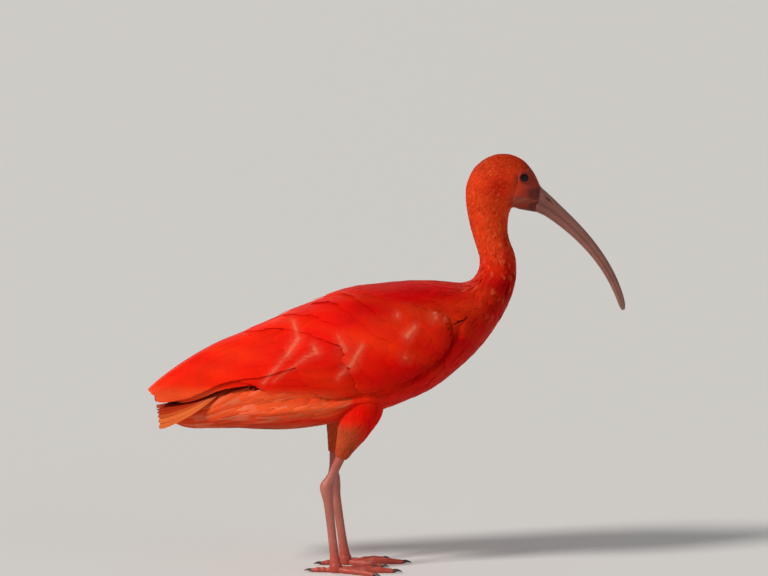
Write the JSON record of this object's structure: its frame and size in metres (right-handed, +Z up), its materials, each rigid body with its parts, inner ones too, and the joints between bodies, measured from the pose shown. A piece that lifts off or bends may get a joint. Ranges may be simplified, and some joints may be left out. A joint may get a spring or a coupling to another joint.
{
  "type": "scarlet ibis",
  "caption": "Life-size still model of a scarlet ibis standing with folded wings, its long bill curved down and its head held up on an S-shaped neck.",
  "frame": {"origin": "on the floor under the middle of the bird's bounding box", "axes": "+X the way the bird faces, +Y its left side, +Z up"},
  "size_m": [0.4294, 0.1134, 0.3777],
  "materials": {
    "plumage": "soft matte body feathers",
    "flight_feathers": "smooth satin feather vanes",
    "bill": "dull satin horn",
    "leg_skin": "scaly dull skin",
    "claw": "dark horn",
    "eye": "wet gloss"
  },
  "bodies": {
    "root": {"head": "plumage", "neck_upper": "plumage", "neck_lower": "plumage", "torso": "plumage", "tail": "flight_feathers", "bill_upper": "bill", "bill_lower": "bill", "wing_left": "flight_feathers", "eye_left": "eye", "thigh_left": "plumage", "shank_left": "leg_skin", "tarsus_left": "leg_skin", "foot_left": "leg_skin", "claw_left_middle": "claw", "claw_left_inner": "claw", "claw_left_outer": "claw", "claw_left_hind": "claw", "wing_right": "flight_feathers", "eye_right": "eye", "thigh_right": "plumage", "shank_right": "leg_skin", "tarsus_right": "leg_skin", "foot_right": "leg_skin", "claw_right_middle": "claw", "claw_right_inner": "claw", "claw_right_outer": "claw", "claw_right_hind": "claw"}
  },
  "joints": []
}
